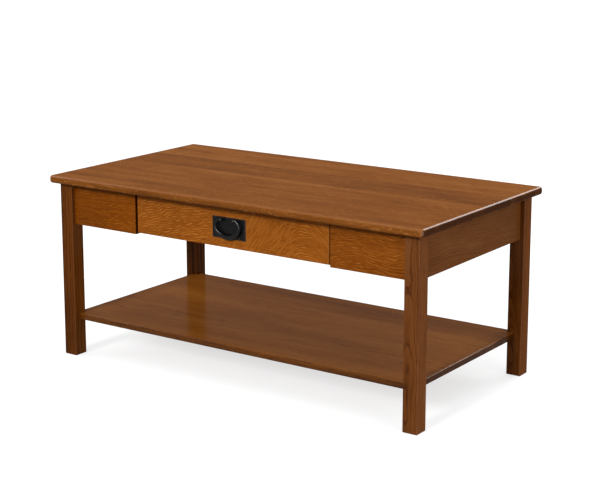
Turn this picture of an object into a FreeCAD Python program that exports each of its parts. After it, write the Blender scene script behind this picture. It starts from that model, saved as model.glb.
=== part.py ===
import FreeCAD, Part
import math
import os
import re
import Sketcher

# Low oak table with one wide drawer in the front apron and a shelf near the floor.
# Millimetres. The origin is on the floor under the middle of the top, X runs along the
# length to the right, Y runs to the back, Z is up. The drawer opens towards -Y.

sizes = {
    # Top panel
    "table_height": 457,
    "top_length": 1058,
    "top_width": 564,
    "top_thick": 19,
    "top_edge_round": 6.5,
    "top_corner_round": 9,
    "overhang_end": 18,
    "overhang_side": 21.5,
    # Legs
    "leg_size": 37,
    "leg_edge_round": 1.5,
    "leg_foot_chamfer": 1.5,
    # Aprons and their tenons
    "apron_height": 103,
    "apron_thick": 19,
    "apron_setback": 11,
    "apron_edge_round": 1.2,
    "tenon_thick": 9,
    "tenon_wall": 19,
    "tenon_shoulder": 10,
    "mitre_gap": 0.5,
    "wood_gap": 0.1,
    "hole_bottom": 0.5,
    # Front opening
    "opening_width": 558,
    "drawer_gap": 4,
    "drawer_setback": 3,
    # Guides that carry the slides, and the rail over the drawer
    "guide_thick": 19,
    "guide_lift": 12,
    "stub_thick": 9,
    "stub_length": 6,
    "stub_shoulder": 12,
    "rail_width": 45,
    "rail_thick": 16,
    "rail_setback": 1,
    "rail_housing": 5,
    # Clips that hold the top
    "kerf_drop": 9,
    "kerf_height": 2.6,
    "kerf_depth": 10,
    "clip_steel": 1.6,
    "clip_width": 16,
    "clip_tongue": 8,
    "clip_stand": 0.4,
    "clip_flange": 19,
    "clip_hole_reach": 12,
    "clip_back_share": 0.8,
    "clip_end_share": 0.5,
    # Wood screws
    "screw_dia": 4,
    "screw_head_dia": 8,
    "screw_head_height": 2.2,
    "screw_head_flat": 4.4,
    "screw_gap": 0.1,
    "clip_screw_length": 13,
    "rail_screw_length": 27,
    "front_screw_length": 26,
    "front_screw_inset": 55,
    "front_screw_lift": 24,
    "front_screw_drop": 17,
    "slide_screw_dia": 3.4,
    "slide_screw_head": 6.6,
    "slide_screw_flat": 4.2,
    "slide_screw_rise": 1.2,
    "guide_screw_length": 14,
    "side_screw_length": 11,
    # Shelf
    "shelf_top": 105.5,
    "shelf_thick": 15,
    "shelf_inset_front": 16.5,
    "shelf_inset_end": 18.5,
    "shelf_edge_round": 3,
    "dowel_dia": 6,
    "dowel_spacing": 9.5,
    "dowel_in_leg": 15,
    "dowel_in_shelf": 18,
    # Drawer front and box
    "front_thick": 19,
    "front_edge_round": 1.2,
    "box_thick": 12,
    "box_height": 68,
    "box_back_gap": 28,
    "box_lift": 8,
    "box_edge_round": 1.5,
    "tail_count": 3,
    "tail_width": 16.5,
    "tail_flare": 1.8,
    "bottom_thick": 6,
    "bottom_lift": 7,
    "groove_depth": 6,
    "groove_gap": 0.2,
    # Slides
    "slide_start": 1.5,
    "slide_back_gap": 28.5,
    "slide_width": 12.7,
    "slide_height": 45,
    "slide_steel": 1.2,
    "slide_bend_round": 0.8,
    "slide_inner_reach": 7.2,
    "slide_screw_room": 2.1,
    "slide_tip_reach": 1.6,
    "slide_screw_inset": 45,
    "ball_dia": 3.5,
    "ball_gap": 0.1,
    "ball_reach": 4.6,
    "ball_count": 2,
    "ball_pitch": 150,
    "cage_length": 190,
    "cage_steel": 0.8,
    "cage_width": 5.6,
    # Pull
    "plate_width": 94.5,
    "plate_height": 50,
    "plate_thick": 2.6,
    "plate_bevel": 1.6,
    "plate_drop": 0.8,
    "post_spacing": 36,
    "post_rise": 19.3,
    "post_dia": 9,
    "post_collar_dia": 12,
    "post_collar_thick": 0.7,
    "post_dome_dia": 5,
    "post_dome_height": 2,
    "post_end": 5.5,
    "post_shank_dia": 4,
    "post_shank_extra": 5.6,
    "post_hole_gap": 0.2,
    "pivot_reach": 8.5,
    "washer_dia": 10,
    "washer_thick": 1,
    "nut_sides": 6,
    "nut_across": 7.7,
    "nut_height": 3.2,
    "bail_thick": 5,
    "bail_edge_round": 1.9,
    "bail_outer_half": 37.5,
    "bail_outer_rise": 28,
    "bail_outer_drop": 17,
    "bail_outer_round": 21,
    "bail_inner_half": 31.5,
    "bail_inner_rise": 19,
    "bail_inner_drop": 15.5,
    "bail_inner_round": 12,
    "bail_arm_gap": 0.4,
    "bail_open_low": 3,
    "bail_open_high": 14,
    "bail_pin_dia": 4,
    "bail_pin_gap": 0.1,
    "bail_pin_length": 8,
}

# Positions worked out from the sizes above.
places = {
    "leg_x": "top_length / 2 - overhang_end",
    "leg_y": "top_width / 2 - overhang_side",
    "leg_in_x": "leg_x - leg_size",
    "leg_in_y": "leg_y - leg_size",
    "leg_mid_x": "leg_x - leg_size / 2",
    "leg_mid_y": "leg_y - leg_size / 2",
    "under_top": "table_height - top_thick",
    "apron_low": "under_top - apron_height",
    "apron_out_x": "leg_x - apron_setback",
    "apron_out_y": "leg_y - apron_setback",
    "apron_in_x": "apron_out_x - apron_thick",
    "apron_in_y": "apron_out_y - apron_thick",
    "tenon_length": "leg_size - tenon_wall",
    "tenon_mid": "leg_size / 2 - apron_setback - apron_thick / 2",
    "tenon_near": "(apron_thick - tenon_thick) / 2",
    "tenon_far": "(apron_thick + tenon_thick) / 2",
    "tenon_meet": "leg_size - apron_setback - tenon_far",
    "tenon_mitre": "max(tenon_length - tenon_meet; 0) + mitre_gap",
    "tenon_high": "apron_height - tenon_shoulder",
    "kerf_top": "apron_height - kerf_drop",
    "kerf_low": "kerf_top - kerf_height",
    "kerf_mid": "kerf_drop + kerf_height / 2",
    "half_open": "opening_width / 2",
    "show_half": "half_open - drawer_gap",
    "show_y": "drawer_setback - apron_out_y",
    "show_back": "show_y + front_thick",
    "show_low": "apron_low + drawer_gap",
    "show_height": "apron_height - 2 * drawer_gap",
    "guide_low": "apron_low + guide_lift",
    "guide_mid": "half_open + guide_thick / 2",
    "guide_height": "under_top - guide_low",
    "rail_front": "max(show_back + rail_setback; wood_gap - leg_in_y)",
    "rail_back": "rail_front + rail_width",
    "rail_low": "under_top - rail_thick",
    "stub_high": "guide_height - rail_thick - stub_shoulder",
    "clip_back_x": "leg_in_x * clip_back_share",
    "clip_end_y": "leg_in_y * clip_end_share",
    "rail_screw_x": "(half_open + leg_in_x) / 2",
    "shelf_low": "shelf_top - shelf_thick",
    "shelf_x": "leg_x - shelf_inset_end",
    "shelf_y": "leg_y - shelf_inset_front",
    "dowel_y": "(leg_in_y + shelf_y) / 2",
    "dowel_z": "shelf_top - shelf_thick / 2",
    "box_half": "half_open - slide_width",
    "box_in": "box_half - box_thick",
    "box_low": "show_low + box_lift",
    "box_depth": "apron_in_y - show_back - box_back_gap",
    "box_back": "show_back + box_depth",
    "box_shoulder": "box_depth - box_thick",
    "tail_pitch": "box_height / tail_count",
    "tail_run": "tail_pitch * (tail_count - 1)",
    "groove_high": "bottom_lift + bottom_thick + 2 * groove_gap",
    "panel_x": "box_in + groove_depth - wood_gap",
    "panel_low": "box_thick - groove_depth + wood_gap",
    "panel_high": "box_depth - panel_low",
    "slide_y": "show_back + slide_start",
    "slide_length": "box_depth - slide_start - slide_back_gap",
    "slide_z": "box_low + box_height / 2",
    "slide_half": "slide_height / 2",
    "slide_middle_reach": "slide_width - slide_steel - slide_screw_room",
    "race": "ball_dia + 2 * ball_gap",
    "middle_half": "slide_half - slide_steel - race",
    "inner_half": "middle_half - slide_steel - race",
    "ball_row_outer": "slide_half - slide_steel - race / 2",
    "ball_row_inner": "middle_half - slide_steel - race / 2",
    "cage_y": "slide_y + (slide_length - cage_length) / 2",
    "ball_first": "(cage_length - ball_pitch * (ball_count - 1)) / 2",
    "plate_z": "show_low + show_height / 2 - plate_drop",
    "post_x": "post_spacing / 2",
    "post_z": "plate_z + post_rise",
    "pivot_y": "show_y - pivot_reach",
    "box_front_in": "show_back + box_thick",
    "post_tail": "front_thick + box_thick + post_shank_extra",
    "arm_x": "post_x + post_dia / 2 + bail_arm_gap",
    "front_screw_x": "show_half - front_screw_inset",
    "front_screw_high": "box_height - front_screw_drop",
}

doc = FreeCAD.newDocument("coffee_table")
parts = []
up = FreeCAD.Vector(0, 0, 1)
ahead = FreeCAD.Vector(1, 0, 0)
across = FreeCAD.Vector(0, 1, 0)
quarter, half_turn, full_turn = 90, 180, 360
close = 0.001


def full(formula, home=""):
    """Puts the sheet's name before each size in a formula."""
    def named(found):
        word = found.group(0)
        for book, rows in (("Sizes", sizes), ("Places", places)):
            if word in rows and book != home:
                return book + "." + word
        return word
    return re.sub(r"[a-z_]+", named, formula)


for book, rows in (("Sizes", sizes), ("Places", places)):
    sheet = doc.addObject("Spreadsheet::Sheet", book)
    for row, (name, value) in enumerate(rows.items(), 1):
        sheet.set(f"A{row}", name)
        sheet.set(f"B{row}", str(value) if book == "Sizes" else "=" + full(value, book))
        sheet.setAlias(f"B{row}", name)
    doc.recompute()


def number(formula):
    return float(sheet.evalExpression(full(formula)))


def signed(sign, formula):
    """The formula itself on the right or at the back, its negative on the other side."""
    return f"({formula})" if sign > 0 else f"-({formula})"


def bind(item, path, formula):
    item.setExpression(path, full(formula))


def set_place(item, place, turn):
    item.Placement = FreeCAD.Placement(FreeCAD.Vector(), turn)
    for axis, formula in zip("xyz", place):
        bind(item, "Placement.Base." + axis, formula)


def body(label, place=("0", "0", "0"), turn=FreeCAD.Rotation()):
    made = doc.addObject("PartDesign::Body", label)
    set_place(made, place, turn)
    return made


def part(made):
    """Marks a finished piece to be written out under its label."""
    parts.append(made)
    return made


def sketch(made, role, at="0"):
    """An empty sketch on one of the body's planes, moved to a place along its axis."""
    drawn = made.newObject("Sketcher::SketchObject", made.Name + "_sketch")
    plane = next(item for item in made.Origin.OriginFeatures if item.Role == role)
    drawn.AttachmentSupport = [(plane, "")]
    drawn.MapMode = "FlatFace"
    bind(drawn, "AttachmentOffset.Base.z", f"-({at})" if role == "XZ_Plane" else at)
    return drawn


def tie(drawn, geometry, point, place):
    """Holds one point of a sketch at a place given by two formulas."""
    for kind, axis, formula in (("DistanceX", -2, place[0]), ("DistanceY", -1, place[1])):
        if formula == "0":
            drawn.addConstraint(Sketcher.Constraint("PointOnObject", geometry, point, axis))
        else:
            span = number(formula)
            held = drawn.addConstraint(Sketcher.Constraint(kind, -1, 1, geometry, point, span))
            bind(drawn, f"Constraints[{held}]", formula)


def outline(drawn, corners):
    """A closed run of straight sides through the corners."""
    spots = [FreeCAD.Vector(number(x), number(y), 0) for x, y in corners]
    first = drawn.GeometryCount
    for start, end in zip(spots, spots[1:] + spots[:1]):
        drawn.addGeometry(Part.LineSegment(start, end), False)
    for n in range(len(spots)):
        after = first + (n + 1) % len(spots)
        drawn.addConstraint(Sketcher.Constraint("Coincident", first + n, 2, after, 1))
    for n, corner in enumerate(corners):
        tie(drawn, first + n, 1, corner)
    return drawn


def rectangle(drawn, x_from, x_to, y_from, y_to):
    return outline(drawn, [(x_from, y_from), (x_to, y_from), (x_to, y_to), (x_from, y_to)])


def rings(drawn, centres, diameter):
    for centre in centres:
        middle = FreeCAD.Vector(number(centre[0]), number(centre[1]), 0)
        ring = drawn.addGeometry(Part.Circle(middle, up, number(diameter) / 2), False)
        tie(drawn, ring, 3, centre)
        size = drawn.addConstraint(Sketcher.Constraint("Diameter", ring, number(diameter)))
        bind(drawn, f"Constraints[{size}]", diameter)
    return drawn


def extrude(kind, made, drawn, length, toward):
    """Pads or pockets a sketch towards the plus or the minus side of its axis."""
    done = made.newObject("PartDesign::" + kind, made.Name + "_" + kind.lower())
    done.Profile = drawn
    bind(done, "Length", length)
    facing = -1 if drawn.AttachmentSupport[0][0].Role == "XZ_Plane" else 1
    forward = facing if kind == "Pad" else -facing
    done.Reversed = toward != forward
    doc.recompute()
    return done


def pad(made, drawn, length, toward=1):
    return extrude("Pad", made, drawn, length, toward)


def pocket(made, drawn, length, toward=1):
    return extrude("Pocket", made, drawn, length, toward)


def edges(feature, wanted):
    boxes = [edge.BoundBox for edge in feature.Shape.Edges]
    return [f"Edge{n}" for n, box in enumerate(boxes, 1) if wanted(box)]


def ease(kind, made, base, size, wanted):
    """Rounds or bevels the wanted edges of the feature made last."""
    done = made.newObject("PartDesign::" + kind, made.Name + "_" + kind.lower())
    done.Base = (base, edges(base, wanted))
    bind(done, "Radius" if kind == "Fillet" else "Size", size)
    doc.recompute()
    return done


def upright(box):
    return box.ZLength > box.XLength + box.YLength


def level_at(height):
    level = number(height)
    return lambda box: abs(box.ZMin - level) < close and abs(box.ZMax - level) < close


def facing_at(depth):
    level = number(depth)
    return lambda box: abs(box.YMin - level) < close and abs(box.YMax - level) < close


def row(made, feature, role, run, count):
    """Repeats a feature evenly along one of the body's axes."""
    done = made.newObject("PartDesign::LinearPattern", made.Name + "_row")
    done.Originals = [feature]
    axis = next(item for item in made.Origin.OriginFeatures if item.Role == role)
    done.Direction = (axis, [""])
    bind(done, "Length", run)
    bind(done, "Occurrences", count)
    made.Tip = done
    doc.recompute()
    return done


def revolve(made, corners):
    """Turns an outline of radius and height once round the body's Z axis."""
    drawn = outline(sketch(made, "XZ_Plane"), corners)
    done = made.newObject("PartDesign::Revolution", made.Name + "_turned")
    done.Profile = drawn
    done.ReferenceAxis = (drawn, ["V_Axis"])
    done.Angle = full_turn
    doc.recompute()
    return done


def group(label, items):
    """Several loose pieces of one kind under one label."""
    made = doc.addObject("Part::Compound", label)
    made.Links = items
    return part(made)


def screw(label, place, turn, dia, length, head, flat, rise):
    """A wood screw seated at its place, with the head on the plus side of its axis."""
    made = body(label, place, turn)
    revolve(made, [
        ("0", f"-({length})"), (f"{dia} / 2", f"-({length})"), (f"{dia} / 2", "0"),
        (f"{head} / 2", "0"), (f"{flat} / 2", rise), ("0", rise)])
    return made


sides = (("left", -1), ("right", 1))
ends = (("front", -1), ("back", 1))
head_down = FreeCAD.Rotation(ahead, half_turn)
head_back = FreeCAD.Rotation(ahead, -quarter)
head_front = FreeCAD.Rotation(ahead, quarter)
heads_in = {-1: FreeCAD.Rotation(across, quarter), 1: FreeCAD.Rotation(across, -quarter)}
pilot = "screw_dia + 2 * screw_gap"
slide_pilot = "slide_screw_dia + 2 * screw_gap"

# Legs, square in section, with two mortises each that meet inside at a mitre.
for end, sy in ends:
    for side, sx in sides:
        place = (signed(sx, "leg_mid_x"), signed(sy, "leg_mid_y"), "0")
        leg = part(body(f"leg_{end}_{side}", place))
        half = "leg_size / 2"
        square = rectangle(sketch(leg, "XY_Plane"), f"-{half}", half, f"-{half}", half)
        post = pad(leg, square, "under_top")
        eased = ease("Fillet", leg, post, "leg_edge_round", upright)
        ease("Chamfer", leg, eased, "leg_foot_chamfer", level_at("0"))
        low = "apron_low + tenon_shoulder - wood_gap"
        high = "apron_low + tenon_high + wood_gap"
        wide = "tenon_thick / 2 + wood_gap"
        depth = "tenon_length + hole_bottom"
        for role, s_along, s_in in (("YZ_Plane", sy, sx), ("XZ_Plane", sx, sy)):
            middle = signed(s_along, "tenon_mid")
            slot = sketch(leg, role, signed(-s_in, half))
            rectangle(slot, f"{middle} - ({wide})", f"{middle} + {wide}", low, high)
            pocket(leg, slot, depth, s_in)
        middle = signed(sy, "dowel_y - leg_mid_y")
        bores = sketch(leg, "YZ_Plane", signed(-sx, half))
        spots = [(f"{middle} {s} dowel_spacing / 2", "dowel_z") for s in "-+"]
        rings(bores, spots, "dowel_dia + 2 * wood_gap")
        pocket(leg, bores, "dowel_in_leg + hole_bottom", sx)


def tenon(made, sign, shoulder):
    """A tenon on one end of an apron, mitred on its inner side."""
    tip = f"{shoulder} + tenon_length"
    plan = [(shoulder, "tenon_near"), (tip, "tenon_near"), (tip, "tenon_far - tenon_mitre"),
            (f"{tip} - tenon_mitre", "tenon_far"), (shoulder, "tenon_far")]
    drawn = sketch(made, "XY_Plane", "tenon_shoulder")
    outline(drawn, [(signed(sign, x), y) for x, y in plan])
    pad(made, drawn, "tenon_high - tenon_shoulder")


def kerf(made, x_from, x_to):
    """The saw kerf on the inner face that the top's clips hook into."""
    slot = sketch(made, "XZ_Plane", "apron_thick")
    pocket(made, rectangle(slot, x_from, x_to, "kerf_low", "kerf_top"), "kerf_depth", -1)


def ease_apron(made, board):
    low = level_at("0")
    face = facing_at("0")
    ease("Fillet", made, board, "apron_edge_round", lambda box: low(box) and face(box))


def long_apron(label, half, place, turn):
    """An apron between two legs, drawn with its outer face on the XZ plane."""
    made = part(body(label, place, FreeCAD.Rotation(up, turn)))
    plan = rectangle(sketch(made, "XY_Plane"), f"-{half}", half, "0", "apron_thick")
    ease_apron(made, pad(made, plan, "apron_height"))
    for side, sx in sides:
        tenon(made, sx, half)
    kerf(made, f"-{half}", half)
    return made


# Back apron, with two mortises for the drawer guides.
back = long_apron("apron_back", "leg_in_x", ("0", "apron_out_y", "apron_low"), half_turn)
stub_half = "stub_thick / 2 + wood_gap"
stub_from = "guide_low - apron_low + stub_shoulder - wood_gap"
stub_to = "guide_low - apron_low + stub_high + wood_gap"
for side, sx in sides:
    middle = signed(sx, "guide_mid")
    slot = sketch(back, "XZ_Plane", "apron_thick")
    rectangle(slot, f"{middle} - ({stub_half})", f"{middle} + {stub_half}", stub_from, stub_to)
    pocket(back, slot, "stub_length + hole_bottom", -1)

# End aprons, each with a shallow housing for the rail over the drawer.
for side, sx in sides:
    place = (signed(sx, "apron_out_x"), "0", "apron_low")
    apron = long_apron(f"apron_{side}", "leg_in_y", place, sx * quarter)
    slot = sketch(apron, "XZ_Plane", "apron_thick")
    near = signed(sx, "rail_front - wood_gap")
    far = signed(sx, "rail_back + wood_gap")
    rectangle(slot, near, far, "apron_height - rail_thick", "apron_height")
    pocket(apron, slot, "rail_housing", -1)

# Short fixed aprons on both sides of the drawer.
for side, sx in sides:
    block = part(body(f"apron_front_{side}", ("0", "-(apron_out_y)", "apron_low")))
    near, far = signed(sx, "half_open"), signed(sx, "leg_in_x")
    plan = rectangle(sketch(block, "XY_Plane"), near, far, "0", "apron_thick")
    ease_apron(block, pad(block, plan, "apron_height"))
    tenon(block, sx, "leg_in_x")
    middle = signed(sx, "guide_mid")
    slot = sketch(block, "XZ_Plane", "apron_thick")
    rectangle(slot, f"{middle} - ({stub_half})", f"{middle} + {stub_half}", stub_from, stub_to)
    pocket(block, slot, "stub_length + hole_bottom", -1)

# Drawer guides run from the front blocks to the back apron, notched for the rail.
screw_spots = ("slide_y + slide_screw_inset", "slide_y + slide_length - slide_screw_inset")
for side, sx in sides:
    guide = part(body(f"drawer_guide_{side}", (signed(sx, "half_open"), "0", "guide_low")))
    notch_low = "guide_height - rail_thick"
    near, far = "rail_front - wood_gap", "rail_back + wood_gap"
    profile = outline(sketch(guide, "YZ_Plane"), [
        ("-apron_in_y", "0"), ("apron_in_y", "0"), ("apron_in_y", "guide_height"),
        (far, "guide_height"), (far, notch_low), (near, notch_low),
        (near, "guide_height"), ("-apron_in_y", "guide_height")])
    pad(guide, profile, "guide_thick", sx)
    for end, sy in ends:
        stub = sketch(guide, "YZ_Plane", signed(sx, "(guide_thick - stub_thick) / 2"))
        root, tip = signed(sy, "apron_in_y"), signed(sy, "apron_in_y + stub_length")
        pad(guide, rectangle(stub, root, tip, "stub_shoulder", "stub_high"), "stub_thick", sx)
    bores = sketch(guide, "YZ_Plane")
    rings(bores, [(y, "slide_z - guide_low") for y in screw_spots], slide_pilot)
    pocket(guide, bores, "guide_screw_length", sx)

# Flat rail under the top, behind the upper edge of the drawer front.
rail = part(body("drawer_rail", ("0", "rail_front", "rail_low")))
rail_half = "apron_in_x + rail_housing - wood_gap"
plan = sketch(rail, "XY_Plane")
pad(rail, rectangle(plan, f"-({rail_half})", rail_half, "0", "rail_width"), "rail_thick")
rail_spots = [(x, "rail_width / 2") for x in ("-rail_screw_x", "0", "rail_screw_x")]
bores = rings(sketch(rail, "XY_Plane"), rail_spots, pilot)
pocket(rail, bores, "rail_thick", 1)
group("rail_screws", [
    screw(f"rail_screw_{n}", (x, "rail_front + rail_width / 2", "rail_low"), head_down,
          "screw_dia", "rail_screw_length", "screw_head_dia", "screw_head_flat",
          "screw_head_height")
    for n, (x, y) in enumerate(rail_spots)])

# Clips: the tongue sits in the apron's kerf and the flange is screwed to the top.
clip_reach = "clip_stand + clip_hole_reach"
clip_spots = [(x, "apron_in_y", -quarter) for x in ("-clip_back_x", "0", "clip_back_x")]
clip_spots += [(signed(sx, "apron_in_x"), y, quarter + sx * quarter)
               for side, sx in sides for y in ("-clip_end_y", "clip_end_y")]
clips = []
clip_screws = []
top_bores = []
for n, (x, y, turn) in enumerate(clip_spots):
    clip = body(f"top_clip_{n}", (x, y, "under_top"), FreeCAD.Rotation(up, turn))
    low, high = "-(kerf_mid + clip_steel / 2)", "-(kerf_mid - clip_steel / 2)"
    inner, flange = "clip_stand + clip_steel", "clip_stand + clip_flange"
    profile = outline(sketch(clip, "XZ_Plane", "-clip_width / 2"), [
        ("-clip_tongue", low), (inner, low), (inner, "-clip_steel"), (flange, "-clip_steel"),
        (flange, "0"), ("clip_stand", "0"), ("clip_stand", high), ("-clip_tongue", high)])
    pad(clip, profile, "clip_width", 1)
    bore = rings(sketch(clip, "XY_Plane"), [(clip_reach, "0")], pilot)
    pocket(clip, bore, "clip_steel", -1)
    clips.append(clip)
    inward = FreeCAD.Rotation(up, turn).multVec(ahead)
    spot_x = f"{x} + {round(inward.x)} * ({clip_reach})"
    spot_y = f"{y} + {round(inward.y)} * ({clip_reach})"
    top_bores.append((spot_x, spot_y))
    clip_screws.append(screw(
        f"top_clip_screw_{n}", (spot_x, spot_y, "under_top - clip_steel"), head_down,
        "screw_dia", "clip_screw_length", "screw_head_dia", "screw_head_flat",
        "screw_head_height"))
group("top_clips", clips)
group("top_clip_screws", clip_screws)

# Top panel, rounded along all its edges and at its corners, bored for the screws below.
top = part(body("table_top", ("0", "0", "under_top")))
plan = rectangle(sketch(top, "XY_Plane"), "-top_length / 2", "top_length / 2",
                 "-top_width / 2", "top_width / 2")
slab = ease("Fillet", top, pad(top, plan, "top_thick"), "top_corner_round", upright)
above, below = level_at("top_thick"), level_at("0")
ease("Fillet", top, slab, "top_edge_round", lambda box: above(box) or below(box))
top_bores += [(x, "rail_front + rail_width / 2") for x, y in rail_spots]
bores = rings(sketch(top, "XY_Plane"), top_bores, pilot)
pocket(top, bores, "clip_screw_length", 1)


def notched(drawn, half_x, y_from, y_to, notch_x, notch_y_from, notch_y_to):
    """A board's plan with a square notch at each corner."""
    return outline(drawn, [
        (f"-({notch_x})", y_from), (notch_x, y_from), (notch_x, notch_y_from),
        (half_x, notch_y_from), (half_x, notch_y_to), (notch_x, notch_y_to),
        (notch_x, y_to), (f"-({notch_x})", y_to), (f"-({notch_x})", notch_y_to),
        (f"-({half_x})", notch_y_to), (f"-({half_x})", notch_y_from),
        (f"-({notch_x})", notch_y_from)])


# Lower shelf, notched round the four legs and dowelled into their inner faces.
shelf = part(body("lower_shelf", ("0", "0", "shelf_low")))
notch_x, notch_y = "leg_in_x - wood_gap", "leg_in_y - wood_gap"
plan = notched(sketch(shelf, "XY_Plane"), "shelf_x", "-shelf_y", "shelf_y",
               notch_x, f"-({notch_y})", notch_y)
board = pad(shelf, plan, "shelf_thick")
wide, deep = number("shelf_x"), number("shelf_y")
above, below = level_at("shelf_thick"), level_at("0")
ease("Fillet", shelf, board, "shelf_edge_round", lambda box: (above(box) or below(box)) and (
    abs(box.XMin) + close > wide and box.XLength < close
    or abs(box.YMin) + close > deep and box.YLength < close))
dowels = []
for side, sx in sides:
    bores = sketch(shelf, "YZ_Plane", signed(sx, notch_x))
    spots = [f"{signed(sy, 'dowel_y')} {s} dowel_spacing / 2" for end, sy in ends for s in "-+"]
    rings(bores, [(y, "shelf_thick / 2") for y in spots], "dowel_dia + 2 * wood_gap")
    pocket(shelf, bores, "dowel_in_shelf + hole_bottom", -sx)
    for y in spots:
        dowel = doc.addObject("Part::Cylinder", f"shelf_dowel_{side}")
        bind(dowel, "Radius", "dowel_dia / 2")
        bind(dowel, "Height", "dowel_in_leg + dowel_in_shelf")
        start = "leg_in_x - dowel_in_shelf" if sx > 0 else "-(leg_in_x + dowel_in_leg)"
        set_place(dowel, (start, y, "dowel_z"), FreeCAD.Rotation(across, quarter))
        dowels.append(dowel)
group("shelf_dowels", dowels)


def bends(x, z):
    """Picks the two long edges of a slide member at one reach and height."""
    reach, height = number(x), number(z)
    return lambda box: (abs(box.XMin - reach) < close and abs(box.XMax - reach) < close
                        and abs(abs(box.ZMin) - height) < close and box.YLength > close)


def channel(label, sign, web, web_in, tip, half, bores):
    """A slide member: a web bent over into two flanges, and screw holes through the web."""
    made = part(body(label, ("0", "slide_y", "slide_z")))
    flange = f"{half} - slide_steel"
    shape = [(web, f"-{half}"), (tip, f"-{half}"), (tip, f"-({flange})"),
             (web_in, f"-({flange})"), (web_in, flange), (tip, flange), (tip, half), (web, half)]
    profile = sketch(made, "XZ_Plane")
    outline(profile, [(signed(sign, f"box_half + {x}"), z) for x, z in shape])
    rolled = pad(made, profile, "slide_length", 1)
    rolled = ease("Fillet", made, rolled, "slide_bend_round",
                  bends(signed(sign, f"box_half + {web_in}"), flange))
    ease("Fillet", made, rolled, "slide_bend_round + slide_steel",
         bends(signed(sign, f"box_half + {web}"), half))
    if bores:
        holes = sketch(made, "YZ_Plane", signed(sign, f"box_half + {bores}"))
        rings(holes, [(f"{y} - slide_y", "0") for y in screw_spots], slide_pilot)
        pocket(made, holes, "slide_steel", sign)
    return made


def cage(label, sign, ball_row):
    """Two retainer strips over and under the member they carry, with their balls."""
    loose = []
    for level, sz in (("low", -1), ("high", 1)):
        height = f"slide_z + {signed(sz, ball_row)}"
        middle = signed(sign, "box_half + ball_reach")
        strip = body(f"{label}_{level}", (middle, "cage_y", f"{height} - cage_steel / 2"))
        plan = sketch(strip, "XY_Plane")
        rectangle(plan, "-cage_width / 2", "cage_width / 2", "0", "cage_length")
        pad(strip, plan, "cage_steel")
        bore = rings(sketch(strip, "XY_Plane"), [("0", "ball_first")], "race")
        hole = pocket(strip, bore, "cage_steel", 1)
        row(strip, hole, "Y_Axis", "ball_pitch * (ball_count - 1)", "ball_count")
        loose.append(strip)
        for n in range(round(number("ball_count"))):
            ball = doc.addObject("Part::Sphere", f"{label}_{level}_ball")
            bind(ball, "Radius", "ball_dia / 2")
            along = f"cage_y + ball_first + {n} * ball_pitch"
            set_place(ball, (middle, along, height), FreeCAD.Rotation())
            loose.append(ball)
    return group(label, loose)


# Slides. On each side the outer member is screwed to the guide, the inner member to the
# drawer box, and the middle member runs between them on two sets of balls.
outer_screws = []
inner_screws = []
for side, sx in sides:
    outer_face = "slide_width - slide_steel"
    channel(f"slide_outer_{side}", sx, "slide_width", outer_face, "slide_tip_reach",
            "slide_half", outer_face)
    channel(f"slide_middle_{side}", sx, "slide_middle_reach",
            "slide_middle_reach - slide_steel", "slide_tip_reach", "middle_half", "")
    channel(f"slide_inner_{side}", sx, "0", "slide_steel", "slide_inner_reach",
            "inner_half", "0")
    cage(f"slide_cage_outer_{side}", sx, "ball_row_outer")
    cage(f"slide_cage_inner_{side}", sx, "ball_row_inner")
    for n, y in enumerate(screw_spots):
        seat = signed(sx, f"box_half + {outer_face}")
        outer_screws.append(screw(
            f"slide_outer_screw_{side}_{n}", (seat, y, "slide_z"), heads_in[sx],
            "slide_screw_dia", "guide_screw_length", "slide_screw_head", "slide_screw_flat",
            "slide_screw_rise"))
        seat = signed(sx, "box_half + slide_steel")
        inner_screws.append(screw(
            f"slide_inner_screw_{side}_{n}", (seat, y, "slide_z"), heads_in[-sx],
            "slide_screw_dia", "side_screw_length", "slide_screw_head", "slide_screw_flat",
            "slide_screw_rise"))
group("slide_outer_screws", outer_screws)
group("slide_inner_screws", inner_screws)

# Drawer front: one board that hides the box, bored for the pull and the fixing screws.
front = part(body("drawer_front", ("0", "show_y", "show_low")))
face = rectangle(sketch(front, "XZ_Plane"), "-show_half", "show_half", "0", "show_height")
board = pad(front, face, "front_thick", 1)
ease("Fillet", front, board, "front_edge_round", facing_at("0"))
shank_bore = "post_shank_dia + post_hole_gap"
shank_spots = [signed(sx, "post_x") for side, sx in sides]
bores = sketch(front, "XZ_Plane")
rings(bores, [(x, "post_z - show_low") for x in shank_spots], shank_bore)
pocket(front, bores, "front_thick", 1)
fix_spots = [(signed(sx, "front_screw_x"), z) for side, sx in sides
             for z in ("front_screw_lift", "front_screw_high")]
bores = sketch(front, "XZ_Plane", "front_thick")
rings(bores, [(x, f"{z} + box_lift") for x, z in fix_spots], pilot)
pocket(front, bores, "front_screw_length - box_thick", -1)
group("drawer_front_screws", [
    screw(f"drawer_front_screw_{n}", (x, "box_front_in", f"{z} + box_low"), head_back,
          "screw_dia", "front_screw_length", "screw_head_dia", "screw_head_flat",
          "screw_head_height")
    for n, (x, z) in enumerate(fix_spots)])


def tail(drawn, wide_y, narrow_y, slack):
    """The lowest dovetail of a corner, wide at the outer face of the box."""
    wide = f"tail_width / 2 + {slack}"
    narrow = f"tail_width / 2 - tail_flare + {slack}"
    middle = "tail_pitch / 2"
    return outline(drawn, [
        (wide_y, f"{middle} - ({wide})"), (wide_y, f"{middle} + {wide}"),
        (narrow_y, f"{middle} + {narrow}"), (narrow_y, f"{middle} - ({narrow})")])


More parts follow.
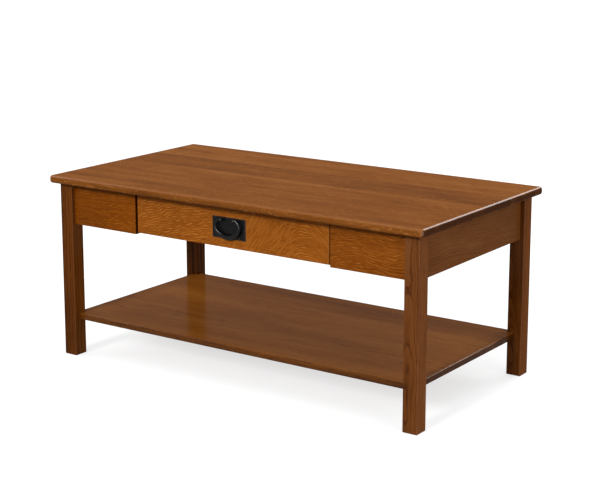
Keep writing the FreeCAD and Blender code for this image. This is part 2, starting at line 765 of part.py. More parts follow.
# Front and back of the drawer box, with sockets for the tails and a groove for the bottom.
brim = level_at("box_height")
for end, sy in ends:
    place = ("0", "show_back" if sy < 0 else "box_back - box_thick", "box_low")
    board = part(body(f"drawer_box_{end}", place))
    face = sketch(board, "XZ_Plane")
    blank = rectangle(face, "-box_half", "box_half", "0", "box_height")
    ease("Fillet", board, pad(board, blank, "box_thick", 1), "box_edge_round",
         lambda box: brim(box) and box.XLength > close)
    outer_y, inner_y = ("0", "box_thick") if sy < 0 else ("box_thick", "0")
    for side, sx in sides:
        drawn = sketch(board, "YZ_Plane", signed(sx, "box_half"))
        socket = pocket(board, tail(drawn, outer_y, inner_y, "wood_gap"), "box_thick", -sx)
        row(board, socket, "Z_Axis", "tail_run", "tail_count")
    groove = sketch(board, "XZ_Plane", inner_y)
    rectangle(groove, "-box_in", "box_in", "bottom_lift", "groove_high")
    pocket(board, groove, "groove_depth", sy)
    if sy < 0:
        bores = sketch(board, "XZ_Plane")
        rings(bores, [(x, "post_z - box_low") for x in shank_spots], shank_bore)
        rings(bores, fix_spots, pilot)
        pocket(board, bores, "box_thick", 1)

# Sides of the drawer box, with a row of dovetails at both ends.
for side, sx in sides:
    board = part(body(f"drawer_side_{side}", (signed(sx, "box_half"), "show_back", "box_low")))
    face = sketch(board, "YZ_Plane")
    rectangle(face, "box_thick", "box_shoulder", "0", "box_height")
    ease("Fillet", board, pad(board, face, "box_thick", -sx), "box_edge_round",
         lambda box: brim(box) and box.YLength > close)
    for wide_y, narrow_y in (("0", "box_thick"), ("box_depth", "box_shoulder")):
        drawn = tail(sketch(board, "YZ_Plane"), wide_y, narrow_y, "0")
        row(board, pad(board, drawn, "box_thick", -sx), "Z_Axis", "tail_run", "tail_count")
    groove = sketch(board, "YZ_Plane", signed(-sx, "box_thick"))
    rectangle(groove, "box_thick", "box_shoulder", "bottom_lift", "groove_high")
    pocket(board, groove, "groove_depth", sx)
    bores = sketch(board, "YZ_Plane")
    rings(bores, [(f"{y} - show_back", "slide_z - box_low") for y in screw_spots], slide_pilot)
    pocket(board, bores, "side_screw_length", -sx)

# Drawer bottom, a thin panel held in the grooves on all four sides.
panel = part(body("drawer_bottom", ("0", "show_back", "box_low + bottom_lift + groove_gap")))
plan = notched(sketch(panel, "XY_Plane"), "panel_x", "panel_low", "panel_high",
               "box_in - wood_gap", "box_thick + wood_gap", "box_shoulder - wood_gap")
pad(panel, plan, "bottom_thick")

# Pull: a bevelled plate on the drawer front, bored for the two posts.
plate = part(body("pull_plate", ("0", "show_y - plate_thick", "plate_z")))
face = sketch(plate, "XZ_Plane")
rectangle(face, "-plate_width / 2", "plate_width / 2", "-plate_height / 2", "plate_height / 2")
ease("Chamfer", plate, pad(plate, face, "plate_thick", 1), "plate_bevel", facing_at("0"))
bores = sketch(plate, "XZ_Plane")
rings(bores, [(x, "post_rise") for x in shank_spots], shank_bore)
pocket(plate, bores, "plate_thick", 1)

# Posts of the pull: a collar, a domed head with a cross bore, and a shank through the wood.
posts = []
fixings = []
for side, sx in sides:
    spot = signed(sx, "post_x")
    post = body(f"pull_post_{side}", (spot, "show_y", "post_z"), head_front)
    collar = "plate_thick + post_collar_thick"
    revolve(post, [
        ("0", "-post_tail"), ("post_shank_dia / 2", "-post_tail"),
        ("post_shank_dia / 2", "plate_thick"), ("post_collar_dia / 2", "plate_thick"),
        ("post_collar_dia / 2", collar), ("post_dia / 2", collar),
        ("post_dia / 2", "pivot_reach + post_end - post_dome_height"),
        ("post_dome_dia / 2", "pivot_reach + post_end"), ("0", "pivot_reach + post_end")])
    bore = rings(sketch(post, "YZ_Plane", "-post_dia"), [("0", "pivot_reach")],
                 "bail_pin_dia + 2 * bail_pin_gap")
    pocket(post, bore, "2 * post_dia", 1)
    posts.append(post)
    washer = body(f"pull_washer_{side}", (spot, "box_front_in", "post_z"))
    pad(washer, rings(rings(sketch(washer, "XZ_Plane"), [("0", "0")], "washer_dia"),
                      [("0", "0")], shank_bore), "washer_thick", 1)
    fixings.append(washer)
    nut = body(f"pull_nut_{side}", (spot, "box_front_in + washer_thick", "post_z"))
    corners = [(f"nut_across / 2 * cos({n} * {full_turn} / nut_sides)",
                f"nut_across / 2 * sin({n} * {full_turn} / nut_sides)")
               for n in range(round(number("nut_sides")))]
    pad(nut, rings(outline(sketch(nut, "XZ_Plane"), corners), [("0", "0")], shank_bore),
        "nut_height", 1)
    fixings.append(nut)
group("pull_posts", posts)
group("pull_nuts", fixings)


def oval(drawn, drop, half, rise, small):
    """An oval of four tangent arcs hung below the pivot, wider than it is high."""
    reach, climb = f"({half} - {small})", f"({rise} - {small})"
    offset = f"(({reach} * {reach} - {climb} * {climb}) / (2 * {climb}))"
    large = f"({rise} + {offset})"
    meet_x = f"({reach} * {large} / ({large} - {small}))"
    meet_y = f"({offset} * {small} / ({large} - {small}))"
    first = drawn.GeometryCount
    arcs = [(reach, f"-{drop}", small), ("0", f"-({drop} + {offset})", large),
            (f"-{reach}", f"-{drop}", small), ("0", f"{offset} - {drop}", large)]
    meets = [(meet_x, f"-({drop} + {meet_y})"), (meet_x, f"{meet_y} - {drop}"),
             (f"-{meet_x}", f"{meet_y} - {drop}"), (f"-{meet_x}", f"-({drop} + {meet_y})")]
    for n, (x, y, radius) in enumerate(arcs):
        middle = FreeCAD.Vector(number(x), number(y), 0)
        spokes = [FreeCAD.Vector(number(p), number(q), 0) - middle
                  for p, q in (meets[n], meets[(n + 1) % len(meets)])]
        angles = [math.atan2(spoke.y, spoke.x) for spoke in spokes]
        drawn.addGeometry(Part.ArcOfCircle(Part.Circle(middle, up, number(radius)), *angles), False)
    for n, (x, y, radius) in enumerate(arcs):
        after = first + (n + 1) % len(arcs)
        drawn.addConstraint(Sketcher.Constraint("Coincident", first + n, 2, after, 1))
    for n, (x, y, radius) in enumerate(arcs):
        tie(drawn, first + n, 1, meets[n])
        held = drawn.addConstraint(Sketcher.Constraint("Radius", first + n, number(radius)))
        bind(drawn, f"Constraints[{held}]", radius)


# Bail: a crescent cut from two ovals, open at the top, hung on pins in the posts.
bail = part(body("pull_bail", ("0", "pivot_y", "post_z")))
profile = sketch(bail, "XZ_Plane", "-bail_thick / 2")
oval(profile, "bail_outer_drop", "bail_outer_half", "bail_outer_rise", "bail_outer_round")
oval(profile, "bail_inner_drop", "bail_inner_half", "bail_inner_rise", "bail_inner_round")
pad(bail, profile, "bail_thick", 1)
gap = rectangle(sketch(bail, "XZ_Plane", "-bail_thick"), "-arm_x", "arm_x",
                "-bail_open_low", "bail_open_high")
pocket(bail, gap, "2 * bail_thick", 1)
for side, sx in sides:
    pin = rings(sketch(bail, "YZ_Plane", signed(sx, "arm_x")), [("0", "0")], "bail_pin_dia")
    hoop = pad(bail, pin, "bail_pin_length", -sx)
ease("Fillet", bail, hoop, "bail_edge_round",
     lambda box: box.YLength < close < min(box.XLength, box.ZLength))

doc.recompute()
for item in doc.Objects:
    if {"Invalid", "Error"} & set(item.State):
        raise ValueError(f"{item.Label} did not rebuild")
    if item.TypeId == "PartDesign::Pocket":
        if item.BaseFeature.Shape.Volume - item.Shape.Volume < close:
            raise ValueError(f"{item.Label} cuts nothing")
for made in parts:
    if made.Shape.isNull() or not made.Shape.isValid():
        raise ValueError(f"{made.Label} has no sound solid")

os.makedirs("parts", exist_ok=True)
for made in parts:
    made.Shape.exportStep(f"parts/{made.Label}.step")
    print(made.Label, len(made.Shape.Solids), round(made.Shape.Volume))
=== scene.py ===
import math

import bpy
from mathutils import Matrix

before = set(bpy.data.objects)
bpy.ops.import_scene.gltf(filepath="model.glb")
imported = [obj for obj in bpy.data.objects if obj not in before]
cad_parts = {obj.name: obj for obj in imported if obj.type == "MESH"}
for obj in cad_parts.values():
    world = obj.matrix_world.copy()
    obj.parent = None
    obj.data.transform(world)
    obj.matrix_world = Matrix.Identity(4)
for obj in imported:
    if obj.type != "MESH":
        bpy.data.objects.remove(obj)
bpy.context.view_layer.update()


# The legs are four square posts of solid oak, each sawn from one length with the grain upright.
# They are morticed for the aprons, eased along their edges, then stained and lacquered.

X, Y, Z = range(3)


class Finish:
    """A finish being built up: each call adds nodes and returns what the last of them gives."""

    def __init__(self, owner):
        owner.use_nodes = True
        self.owner = owner
        self.tree = owner.node_tree

    def feed(self, socket, value):
        """Link what another node gives to a socket, or set the socket's own value."""
        if isinstance(value, bpy.types.NodeSocket):
            self.tree.links.new(value, socket)
        else:
            socket.default_value = value

    def feed_in_order(self, sockets, values):
        for socket, value in zip(sockets, values):
            self.feed(socket, value)

    def feed_by_name(self, sockets, values):
        for name, value in values.items():
            self.feed(sockets[name.replace("_", " ")], value)

    def node(self, kind, settings=(), **inputs):
        made = self.tree.nodes.new("ShaderNode" + kind)
        for name, value in dict(settings).items():
            setattr(made, name, value)
        self.feed_by_name(made.inputs, inputs)
        return made

    def lay(self, **inputs):
        """Set what the finished surface is made of, and return its owner."""
        self.feed_by_name(self.tree.nodes["Principled BSDF"].inputs, inputs)
        return self.owner

    def reckon(self, operation, *values):
        """One step of arithmetic."""
        made = self.node("Math", {"operation": operation})
        self.feed_in_order(made.inputs, values)
        return made.outputs[0]

    def times(self, first, second):
        return self.reckon("MULTIPLY", first, second)

    def weigh(self, *pairs):
        """The sum of values, each times its own weight."""
        total = 0.0
        for value, weight in pairs:
            total = self.reckon("MULTIPLY_ADD", value, weight, total)
        return total

    def step(self, value, low, high, start=0.0, end=1.0):
        """A smooth step from start to end as value goes from low to high."""
        made = self.node("MapRange", {"interpolation_type": "SMOOTHSTEP"})
        self.feed_in_order(made.inputs, (value, low, high, start, end))
        return made.outputs[0]

    def vector(self, *parts):
        made = self.node("CombineXYZ")
        self.feed_in_order(made.inputs, parts)
        return made.outputs[0]

    def parts(self, vector):
        """The three parts of a place, a direction or a colour."""
        return self.node("SeparateXYZ", Vector=vector).outputs

    def noise(self, place, detail=2.0, roughness=0.5):
        """Cloudy noise from 0 to 1, as a number and as a colour, with one lump to each unit of place."""
        return self.node("TexNoise", Vector=place, Scale=1.0, Detail=detail, Roughness=roughness).outputs

    def noise_along(self, line, detail):
        """Noise from 0 to 1 along one line."""
        made = self.node("TexNoise", {"noise_dimensions": "1D"}, W=line, Scale=1.0, Detail=detail)
        return made.outputs[0]

    def bump(self, height, strength, distance):
        return self.node("Bump", Strength=strength, Distance=distance, Height=height).outputs[0]

    def ramp(self, value, *stops):
        """Colours that run from one stop to the next as value goes from 0 to 1."""
        made = self.node("ValToRGB", Fac=value)
        elements = made.color_ramp.elements
        for place, _ in stops[2:]:
            elements.new(place)
        for element, (place, colour) in zip(elements, sorted(stops)):
            element.position = place
            element.color = (*colour, 1.0)
        return made.outputs[0]


class Board(Finish):
    """The finish of sawn wood: the grain runs along one axis, and the show face is as wide as another."""

    def __init__(self, name, grain, face, seed):
        super().__init__(bpy.data.materials.new(name))
        coordinates = self.node("TexCoord").outputs
        self.place = self.parts(coordinates["Object"])
        self.facing = self.parts(coordinates["Normal"])
        self.grain = grain
        self.through = ({X, Y, Z} - {grain, face}).pop()
        self.wide, self.thick = self.place[face], self.place[self.through]
        self.along = self.reckon("ADD", self.place[grain], seed)
        self.tone = 0.5

    def glue_up(self, plank, heart, seed):
        """Make a panel of planks, each from its own part of a tree, and return where their hearts lie."""
        tree_length, heart_reach, heart_rise = 9.0, 3 * plank, 0.08
        number = self.reckon("FLOOR", self.reckon("DIVIDE", self.wide, plank))
        drawn = self.node("TexWhiteNoise", {"noise_dimensions": "1D"}, W=self.reckon("ADD", number, seed))
        chance = self.parts(drawn.outputs["Color"])
        self.tone = drawn.outputs["Value"]
        self.along = self.weigh((chance[0], tree_length), (self.along, 1.0))
        across = self.weigh((number, plank), (chance[1], heart_reach), (1.0, -plank))
        through = self.weigh((chance[2], -heart_rise), (1.0, heart[1]))
        return across, through

    def grained(self, lumps, detail, across=None):
        """Noise drawn out by the grain, with so many lumps to the metre along it and across it."""
        along_lumps, across_lumps = lumps
        across = self.wide if across is None else across
        return self.noise(self.vector(self.times(self.along, along_lumps), self.times(across, across_lumps),
                                      self.times(self.thick, across_lumps)), detail)

    def early_wood(self, heart, ring, sway, wave, lean):
        """The open wood that each year starts with: 1 at the start of a ring, falling to 0 at its end."""
        swing = self.parts(self.grained(lumps=(2.6, 4.0), detail=3.0)["Color"])
        wander = self.grained(lumps=(14.0, 30.0), detail=1.0)[0]
        out = self.weigh((self.wide, 1.0), (heart[0], -1.0), (swing[0], sway), (1.0, -sway / 2))
        down = self.weigh((self.thick, 1.0), (heart[1], -1.0), (swing[1], sway), (1.0, -sway / 2),
                          (self.place[self.grain], lean), (wander, wave))
        radius = self.reckon("SQRT", self.weigh((self.times(out, out), 1.0), (self.times(down, down), 1.0)))
        years = self.reckon("DIVIDE", radius, ring)
        lumps_to_a_year, unevenness, falling_off = 0.4, 2.5, 2.0
        uneven = self.noise_along(self.times(years, lumps_to_a_year), detail=3.0)
        years = self.weigh((uneven, unevenness), (years, 1.0))
        left_of_year = self.reckon("SUBTRACT", 1.0, self.reckon("FRACT", years))
        return self.reckon("POWER", left_of_year, falling_off)

    def ray_rise(self, ahead, sweep, climb):
        """How far the rays have climbed across the face, a little ahead of each point."""
        if not sweep:
            bends_to_a_metre = 6.0
            reached = self.weigh((self.along, bends_to_a_metre), (1.0, bends_to_a_metre * ahead))
            return self.weigh((self.noise_along(reached, detail=1.0), climb))
        span = sweep[-1][0] - sweep[0][0]
        middle = 0.5
        curve = self.node("FloatCurve", Value=self.weigh((self.place[self.grain], 1 / span),
                                                         (1.0, middle + ahead / span)))
        points = curve.mapping.curves[0].points
        drawn = [(x / span + middle, up / span + middle) for x, up in sweep]
        for x, up in drawn[1:-1]:
            points.new(x, up)
        points[0].location = drawn[0]
        points[-1].location = drawn[-1]
        curve.mapping.update()
        return self.weigh((curve.outputs[0], span))

    def ray_flecks(self, sweep, climb):
        """The short pale flecks that quarter-sawing brings out, in rows along the climbing rays."""
        look_ahead, row_spacing, ripple_height, slant = 0.004, 0.0062, 0.016, 0.6
        lift = self.ray_rise(0.0, sweep, climb)
        lift_ahead = self.ray_rise(look_ahead, sweep, climb)
        slope = self.weigh((lift_ahead, 1 / look_ahead), (lift, -1 / look_ahead))
        steep = self.reckon("SQRT", self.weigh((self.times(slope, slope), 1.0), (1.0, 1.0)))
        ripple = self.grained(lumps=(26.0, 40.0), detail=2.0)[0]
        level = self.weigh((self.wide, 1.0), (lift, -1.0), (ripple, ripple_height), (self.thick, slant))
        row = self.reckon("SUBTRACT", self.reckon("FRACT", self.reckon("DIVIDE", level, row_spacing)), 0.5)
        from_row = self.reckon("DIVIDE", self.reckon("ABSOLUTE", row), steep)
        ray = self.grained(lumps=(48.0, 260.0), detail=1.0, across=level)[0]
        drift = self.grained(lumps=(9.0, 22.0), detail=2.0, across=level)[0]
        fleck = self.times(self.step(from_row, low=0.15, high=0.04), self.step(ray, low=0.45, high=0.57))
        return self.times(fleck, self.step(drift, low=0.42, high=0.58, start=0.35))

    def squarely(self, axis):
        """How squarely the surface faces along an axis, either way."""
        return self.reckon("ABSOLUTE", self.facing[axis])

    def eased_edges(self):
        """The rounded edges, which face along no axis, apart from those that face down."""
        square = self.reckon("MAXIMUM", self.reckon("MAXIMUM", self.squarely(X), self.squarely(Y)),
                             self.squarely(Z))
        return self.times(self.step(square, low=0.995, high=0.93),
                          self.step(self.facing[Z], low=-0.4, high=0.1))


def sawn_wood(name, grain, face, heart, colours, seed, plank=None, ring=0.004, sway=0.05, wave=0.0,
              lean=0.02, sweep=None, climb=0.16, rings=0.3, figure=0.0, pores=0.3, blotch=0.5, streak=0.0,
              edge=0.0, ends=0.45, painted_shade=0.0, coat=0.1, edge_coat=0.05, rim_coat=0.28, rough=(0.34, 0.48)):
    """Solid sawn wood in pale, middle and deep colours, under a thin lacquer.

    The heart of the tree lies somewhere across the face and through the thickness of the board. Each seed
    is another length of the tree, and plank is the width of the boards in a glued-up panel.
    A ring is a year's growth, and sway, wave and lean bend the rings on their way along the board.
    The ray flecks follow the line of sweep, or wander across the face by up to climb.
    The stain is deepened by the rings, pores, blotch (clouds), streak (long bands), edge (narrow sides)
    and ends (end grain), and figure, the flecks, lightens it. The depth for faces turned forwards or right
    is painted shade, which darkens them as if the table shaded them.
    The lacquer is coat on the faces, edge_coat on the narrow sides and rim_coat more on the eased edges.
    The two values of rough are for pale wood and for deep wood.
    """
    board = Board(name, grain, face, seed)
    if plank:
        heart = board.glue_up(plank, heart, seed)
    early = board.early_wood(heart, ring, sway, wave, lean)
    fibre = board.grained(lumps=(14.0, 700.0), detail=3.0)[0]
    tubes = board.grained(lumps=(55.0, 1300.0), detail=1.0)[0]
    pore = board.times(board.step(tubes, low=0.55, high=0.66), board.weigh((early, 0.8), (1.0, 0.2)))
    cloud = board.grained(lumps=(5.0, 14.0), detail=3.0)[0]
    band = board.grained(lumps=(1.3, 24.0), detail=3.0)[0]

    end = board.step(board.squarely(grain), low=0.55, high=0.9)
    side = board.step(board.squarely(board.through), low=0.985, high=0.88)
    # Painted shade: faces turned forwards or right are darkened as if the table above shaded them.
    front_and_right = board.weigh((board.facing[X], 0.7), (board.facing[Y], -0.7))
    painted_shade_faces = board.step(front_and_right, low=0.3, high=0.6)
    eased = board.eased_edges()
    worn = board.times(eased, board.step(cloud, low=0.4, high=0.6))
    fleck = board.times(board.ray_flecks(sweep, climb), board.reckon("SUBTRACT", 1.0, end))

    fibre_depth, tone_depth, worn_off, mean_early = 0.35, 0.25, 0.08, 0.35
    evened = 0.5 - mean_early * rings - (fibre_depth + tone_depth + blotch + streak) / 2
    depth = board.weigh((early, rings), (fibre, fibre_depth), (cloud, blotch), (band, streak),
                        (pore, pores), (fleck, -figure), (worn, -worn_off), (end, ends), (side, edge),
                        (painted_shade_faces, painted_shade), (board.tone, tone_depth), (1.0, evened))
    relief = board.weigh((pore, -0.6), (early, -0.2), (fibre, 0.15), (fleck, 0.1))
    lacquer = board.weigh((eased, rim_coat), (side, edge_coat - coat), (1.0, coat))
    pale_rough, deep_rough = rough
    return board.lay(Base_Color=board.ramp(depth, *zip((0.0, 0.5, 1.0), colours)),
                     Roughness=board.step(depth, low=0.1, high=0.9, start=pale_rough, end=deep_rough),
                     Normal=board.bump(relief, strength=0.3, distance=0.0006),
                     Specular_IOR_Level=0.0, Coat_Weight=lacquer, Coat_Roughness=0.16, Coat_IOR=1.5)


def finish_node(name, material):
    """Give a piece of the frame its finish."""
    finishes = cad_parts[name].data.materials
    finishes.clear()
    finishes.append(material)


def stained(red, green, blue):
    """The pale, middle and deep colours that one stain takes on hard rays, plain wood and open pores."""
    pale = (1.6 * red, 2.0 * green, 2.6 * blue + 0.004)
    deep = (0.2 * red, 0.18 * green, 0.2 * blue)
    return pale, (red, green, blue), deep


# The back-left leg's front and right faces get painted shade, darker where the table above shades them.
for leg, face, heart, stain, seed, own_marks in (
        ("leg_front_left", Y, (-0.20, -0.38), stained(0.128, 0.036, 0.0047), 0.0,
         {"ring": 0.007, "lean": 0.01, "edge": 0.15}),
        ("leg_front_right", X, (0.480, -0.215), stained(0.132, 0.0405, 0.0088), 3.1,
         {"ring": 0.0028, "lean": -0.011}),
        ("leg_back_left", Y, (0.15, -0.60), stained(0.117, 0.0328, 0.0049), 6.2,
         {"ring": 0.007, "lean": 0.02, "painted_shade": 0.42}),
        ("leg_back_right", X, (0.481, 0.275), stained(0.12, 0.0342, 0.0054), 9.3,
         {"ring": 0.0028, "lean": -0.016})):
    finish_node(leg, sawn_wood("stained_oak_" + leg, Z, face, heart, stain, seed, figure=0.12, sway=0.03,
                               wave=0.005, blotch=0.6, streak=0.4, coat=0.05, **own_marks))


# The aprons are quarter-sawn oak boards set on edge between the legs and tenoned into them.
# Quarter-sawing brings out the pale ray flecks, which show most on the two front blocks.

apron_heart = (0.10, 0.02)
for apron, grain, stain, seed, figure in (
        ("apron_back", X, stained(0.20, 0.052, 0.003), 11.0, 0.3),
        ("apron_left", Y, stained(0.15, 0.042, 0.005), 13.7, 0.2),
        ("apron_right", Y, stained(0.121, 0.0395, 0.0085), 17.9, 0.1),
        ("apron_front_left", X, stained(0.19, 0.0468, 0.002), 23.3, 0.55),
        ("apron_front_right", X, stained(0.205, 0.0533, 0.004), 29.6, 1.2)):
    finish_node(apron, sawn_wood("stained_oak_" + apron, grain, Z, apron_heart, stain, seed,
                                 rings=0.12, figure=figure, climb=0.05, blotch=0.6, coat=0.05))


# The drawer guides and the rail above the drawer are plain pale hardwood with a clear coat.
# They are tongued and screwed inside the frame, where only an open drawer shows them.

inner_pale = ((0.62, 0.46, 0.28), (0.47, 0.33, 0.18), (0.30, 0.19, 0.09))
inner_heart = (0.3, 0.05)
for piece, grain, face, seed in (("drawer_guide_left", Y, Z, 31.0), ("drawer_guide_right", Y, Z, 34.0),
                                 ("drawer_rail", X, Y, 37.0)):
    finish_node(piece, sawn_wood("clear_wood_" + piece, grain, face, inner_heart, inner_pale, seed,
                                 rings=0.25, pores=0.1, coat=0.0, rough=(0.45, 0.6)))


# The lower shelf is glued up from oak boards and notched round the legs.
# Beech dowels pin it to each leg, and its satin lacquer is thick enough to mirror the legs.

shelf_stain = stained(0.189, 0.059, 0.0075)
finish_node("lower_shelf", sawn_wood("stained_oak_shelf", grain=X, face=Y, heart=(0.0, 0.05),
                                     colours=shelf_stain, seed=41.0, plank=0.122, rings=0.08, figure=0.15,
                                     streak=0.4, edge=0.4, ends=0.15, blotch=0.35, sway=0.02,
                                     coat=0.43, edge_coat=0.15, rim_coat=0.4))
dowel_pale = ((0.66, 0.48, 0.30), (0.55, 0.38, 0.21), (0.36, 0.22, 0.11))
finish_node("shelf_dowels", sawn_wood("raw_beech_dowels", grain=X, face=Y, heart=(0.0, 0.0),
                                      colours=dowel_pale, seed=43.0, rings=0.15, pores=0.1,
                                      coat=0.0, rough=(0.55, 0.7)))


# The clips that hold the top down, the screws and the nuts are pressed or turned steel.
# They are zinc plated, which leaves a faint cloudy tint and fine drawing marks.


def all_over(finish, *lumps):
    """Where to read noise that has so many lumps to the metre along each axis."""
    place = finish.node("TexCoord").outputs["Object"]
    return finish.node("Mapping", Vector=place, Scale=lumps).outputs[0]


def plated_steel(name, pale, dull, rough):
    """Zinc plate on steel that was drawn from front to back, roughest where it is dull."""
    finish = Finish(bpy.data.materials.new(name))
    drawn = finish.noise(all_over(finish, 2500.0, 60.0, 2500.0))[0]
    cloud = finish.noise(all_over(finish, 60.0, 45.0, 60.0), detail=4.0)[0]
    mixed = finish.weigh((drawn, 0.35), (cloud, 0.65))
    dull_below, pale_above, dull_roughness = 0.3, 0.7, 0.14
    return finish.lay(Base_Color=finish.ramp(mixed, (dull_below, dull), (pale_above, pale)),
                      Roughness=finish.step(mixed, dull_below, pale_above, rough + dull_roughness, rough),
                      Normal=finish.bump(mixed, strength=0.12, distance=0.0002),
                      Metallic=1.0)


screw_zinc = plated_steel("yellow_zinc_screws", (0.70, 0.63, 0.46), (0.50, 0.44, 0.30), rough=0.26)
clip_zinc = plated_steel("bright_zinc_plate", (0.62, 0.64, 0.66), (0.42, 0.44, 0.47), rough=0.28)
for piece in ("rail_screws", "top_clip_screws", "slide_outer_screws", "slide_inner_screws", "pull_nuts",
              "drawer_front_screws"):
    finish_node(piece, screw_zinc)
finish_node("top_clips", clip_zinc)


# The top is glued up edge to edge from oak boards, with its edges rounded over and its corners
# softened. Stain and satin lacquer let the joints show only as small changes of tone.

top_stain = stained(0.193, 0.060, 0.0092)
finish_node("table_top", sawn_wood("stained_oak_top", grain=X, face=Y, heart=(0.0, 0.35),
                                   colours=top_stain, seed=50.0, plank=0.118, rings=0.08, figure=0.45,
                                   streak=0.5, edge=0.1, blotch=0.45, sway=0.02, coat=0.24, rim_coat=0.5))


# The drawer runs on two ball slides of rolled steel, each of three nested members.
# Strips that cage the balls travel between each two members, at the mean of their speeds.

for side in ("left", "right"):
    for member in ("outer_", "middle_", "inner_", "cage_outer_", "cage_inner_"):
        finish_node("slide_" + member + side, clip_zinc)


# The drawer box is pale maple, dovetailed at its four corners, under a clear coat.
# A thin birch plywood bottom slides into grooves in its front and sides.

box_pale = ((0.72, 0.55, 0.35), (0.58, 0.42, 0.24), (0.40, 0.26, 0.13))
box_heart = (0.25, 0.1)
for piece, grain, seed in (("drawer_box_front", X, 53.0), ("drawer_box_back", X, 55.0),
                           ("drawer_side_left", Y, 57.0), ("drawer_side_right", Y, 59.0)):
    finish_node(piece, sawn_wood("clear_maple_" + piece, grain, Z, box_heart, box_pale, seed,
                                 ring=0.006, rings=0.18, pores=0.08, rough=(0.38, 0.5)))
panel_pale = ((0.72, 0.57, 0.37), (0.60, 0.45, 0.27), (0.44, 0.30, 0.16))
finish_node("drawer_bottom", sawn_wood("clear_birch_panel", grain=X, face=Y, heart=(0.0, 0.33),
                                       colours=panel_pale, seed=61.0, ring=0.002, rings=0.2, pores=0.05,
                                       coat=0.0, rough=(0.45, 0.58)))


# The drawer front is one wide quarter-sawn oak board, screwed to the box from inside.
# Its ray flecks lean one way on the left and swirl upwards to the right of the pull.

front_stain = stained(0.257, 0.071, 0.006)
front_sweep = ((-0.3, -0.15), (-0.14, -0.10), (-0.01, -0.06), (0.04, 0.0), (0.15, 0.14), (0.21, 0.18),
               (0.245, 0.165), (0.3, 0.09))
finish_node("drawer_front", sawn_wood("stained_oak_drawer_front", grain=X, face=Z, heart=(0.12, -0.24),
                                      colours=front_stain, seed=67.0, sweep=front_sweep, rings=0.14,
                                      figure=1.15, coat=0.06))


# The pull is black iron: a hammered plate, two posts and a forged bail that hangs between them.
# Hammer marks dimple it all over. Handling has rubbed the rims grey, and the posts and bail carry a painted
# highlight: grey metal on what faces up, forwards and right.


def agreement(finish, first, second):
    """How far two directions agree, from 1 where they are the same to 0 where they are square."""
    made = finish.node("VectorMath", {"operation": "DOT_PRODUCT"})
    finish.feed_in_order(made.inputs, (first, second))
    return made.outputs["Value"]


def hammered_iron(name, blow, dent, shine, rough, rim=0.0012, rubbed=0.36, painted_glint=0.0):
    """Black iron, struck with blows so wide that leave dents so deep.

    Its edges are rubbed grey as far in as rim. The last argument is how much painted highlight, a glint of
    grey metal, lies on what faces up, forwards and right, most of all above the foot of the bail. The two
    values of rough are for black iron and for worn or glinting iron.
    """
    finish = Finish(bpy.data.materials.new(name))
    coordinates = finish.node("TexCoord").outputs
    place = coordinates["Object"]
    knocked = finish.node("VectorMath", {"operation": "MULTIPLY_ADD"})
    finish.feed_in_order(knocked.inputs, (finish.noise(all_over(finish, 90.0, 90.0, 90.0))["Color"],
                                          (blow, blow, blow), place))
    blows = finish.node("TexVoronoi", {"feature": "SMOOTH_F1"}, Vector=knocked.outputs[0],
                        Scale=1 / blow, Smoothness=0.6).outputs["Distance"]
    scale = finish.noise(all_over(finish, 900.0, 900.0, 900.0), detail=4.0, roughness=0.6)[0]
    height = finish.weigh((blows, 0.8), (scale, 0.18))

    rounded = finish.node("Bevel", {"samples": 6}, Radius=rim).outputs[0]
    flatness = agreement(finish, rounded, finish.node("NewGeometry").outputs["Normal"])
    rub = finish.times(finish.step(flatness, low=0.99, high=0.85),
                       finish.step(scale, low=0.35, high=0.65, start=0.5))
    wear_and_glint = finish.weigh((rub, rubbed), (scale, 0.4))
    metal = 0.2
    # Painted highlight: a grey metal glint on what faces up, forwards and right, fading below the middle of
    # the bail.
    if painted_glint:
        glint_facing = (0.4, -0.82, 0.4)
        bail_foot, bail_middle = 0.358, 0.384
        towards_glint = agreement(finish, coordinates["Normal"], glint_facing)
        glint_mask = finish.times(finish.step(towards_glint, low=0.86, high=0.99),
                               finish.step(finish.parts(place)[Z], bail_foot, bail_middle, start=0.1))
        wear_and_glint = finish.weigh((glint_mask, painted_glint), (wear_and_glint, 1.0))
        metal = finish.weigh((glint_mask, 1.0 - metal), (1.0, metal))
    # The grey stop colours both the rubbed rims and the painted highlight.
    black, worn_black, rubbed_and_glint_grey = (0.004, 0.004, 0.004), (0.009, 0.008, 0.008), (0.30, 0.30, 0.31)
    black_rough, worn_rough = rough
    return finish.lay(Base_Color=finish.ramp(wear_and_glint, (0.1, black), (0.45, worn_black), (0.95, rubbed_and_glint_grey)),
                      Roughness=finish.step(wear_and_glint, low=0.1, high=0.7, start=black_rough, end=worn_rough),
                      Normal=finish.bump(height, strength=0.5, distance=dent),
                      Metallic=metal, Specular_IOR_Level=shine)


finish_node("pull_plate", hammered_iron("black_iron_pull_plate", blow=0.007, dent=0.0012, shine=0.09,
                                        rough=(0.36, 0.24), rim=0.0026, rubbed=0.55))
finish_node("pull_posts", hammered_iron("black_iron_pull_posts", blow=0.007, dent=0.0012, shine=0.09,
                                        rough=(0.36, 0.24), painted_glint=0.6))
finish_node("pull_bail", hammered_iron("black_iron_bail", blow=0.005, dent=0.0002, shine=0.14,
                                       rough=(0.30, 0.24), painted_glint=0.72))


# The floor is a wide pale sheet. The camera and reflections see it lifted to white,
# and the table's soft shadow still lies on it.

floor_reach = 60.0
floor_corners = [(-floor_reach, -floor_reach, 0.0), (floor_reach, -floor_reach, 0.0),
                 (floor_reach, floor_reach, 0.0), (-floor_reach, floor_reach, 0.0)]
floor_mesh = bpy.data.meshes.new("floor")
floor_mesh.from_pydata(floor_corners, [], [(0, 1, 2, 3)])
floor = bpy.data.objects.new("floor", floor_mesh)
bpy.context.scene.collection.objects.link(floor)

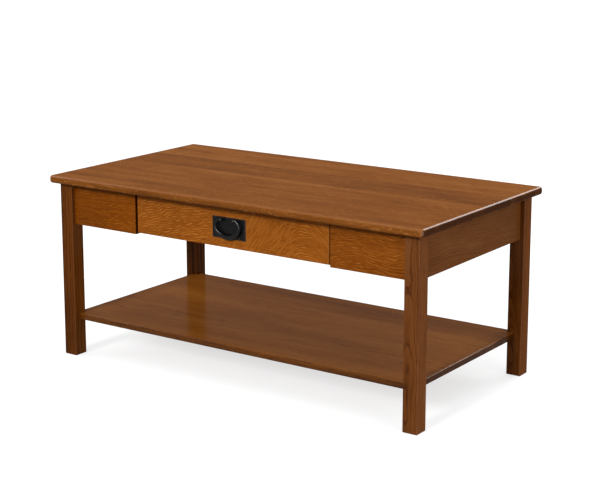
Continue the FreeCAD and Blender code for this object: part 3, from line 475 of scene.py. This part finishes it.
paper = Finish(bpy.data.materials.new("white_paper"))
light = paper.node("LightPath").outputs
seen = paper.reckon("MAXIMUM", light["Is Camera Ray"],
                    paper.reckon("MAXIMUM", light["Is Glossy Ray"], light["Is Transmission Ray"]))
plain = paper.node("BsdfDiffuse", Color=(0.15, 0.15, 0.15, 1.0)).outputs[0]
shaded = paper.node("BsdfDiffuse", Color=(0.4, 0.4, 0.4, 1.0)).outputs[0]
glow = paper.node("Emission", Color=(1.0, 1.0, 1.0, 1.0), Strength=0.68).outputs[0]
lifted = paper.node("AddShader")
paper.feed_in_order(lifted.inputs, (shaded, glow))
chosen = paper.node("MixShader")
paper.feed_in_order(chosen.inputs, (seen, plain, lifted.outputs[0]))
paper.feed(paper.tree.nodes["Material Output"].inputs["Surface"], chosen.outputs[0])
floor_mesh.materials.append(paper.owner)


# The light is a plain studio: a soft key from the front, which reflections don't show, and soft boxes all
# round. The one behind draws the bright line along the right edges, and a pale room lights the rest.

room = Finish(bpy.data.worlds.new("room"))
upwards = room.parts(room.node("TexCoord").outputs["Generated"])[Z]
backdrop = room.tree.nodes["Background"].inputs
backdrop["Color"].default_value = (1.0, 1.0, 1.0, 1.0)
room.feed(backdrop["Strength"], room.step(upwards, low=0.4, high=1.0, start=0.2))
bpy.context.scene.world = room.owner


def hang_lamp(light, azimuth, elevation):
    """Hang a light so that it shines from an azimuth and an elevation, in degrees from the front."""
    lamp = bpy.data.objects.new(light.name, light)
    lamp.rotation_euler = (math.pi / 2 - math.radians(elevation), 0.0, math.radians(azimuth))
    bpy.context.scene.collection.objects.link(lamp)
    return lamp


key = bpy.data.lights.new("key_light", "SUN")
key.energy = 2.03
key.angle = math.radians(11.0)
key_lamp = hang_lamp(key, azimuth=-2.0, elevation=27.5)
key_lamp.visible_glossy = False
for name, width, height, power, place, azimuth, elevation in (
        ("back_box", 2.0, 1.0, 40.0, (0.7, 2.6, 2.1), 174.0, 33.0),
        ("front_box", 1.6, 1.0, 14.0, (0.0, -2.85, 1.885), 0.0, 30.0),
        ("right_box", 2.0, 1.6, 13.0, (2.6, -0.6, 1.75), 74.0, 32.0),
        ("right_low_box", 2.4, 0.6, 40.0, (2.9, -0.5, 0.32), 80.0, 1.0),
        ("left_box", 2.0, 1.6, 20.0, (-2.6, -0.6, 1.75), -74.0, 32.0),
        ("left_strip", 0.08, 1.6, 9.0, (-2.6, -1.6, 0.7), -58.0, 8.0)):
    box = bpy.data.lights.new(name, "AREA")
    box.shape = "RECTANGLE"
    box.size, box.size_y = width, height
    box.energy = power
    box_lamp = hang_lamp(box, azimuth, elevation)
    box_lamp.location = place
    box_lamp.visible_camera = False


# The camera stands where the photograph was taken from, to the right of the front and a little
# above the top. It looks down and to the left through a long lens.

lens = bpy.data.cameras.new("camera")
lens.lens = 91.02
lens.sensor_width = 36.0
lens.shift_y = -0.1
looks_down, looks_left = 11.414, 34.832
camera = bpy.data.objects.new("camera", lens)
camera.location = (2.0618, -2.9264, 1.1567)
camera.rotation_euler = (math.radians(90 - looks_down), 0.0, math.radians(looks_left))
bpy.context.scene.collection.objects.link(camera)
bpy.context.scene.camera = camera
bpy.context.scene.view_settings.view_transform = "Standard"
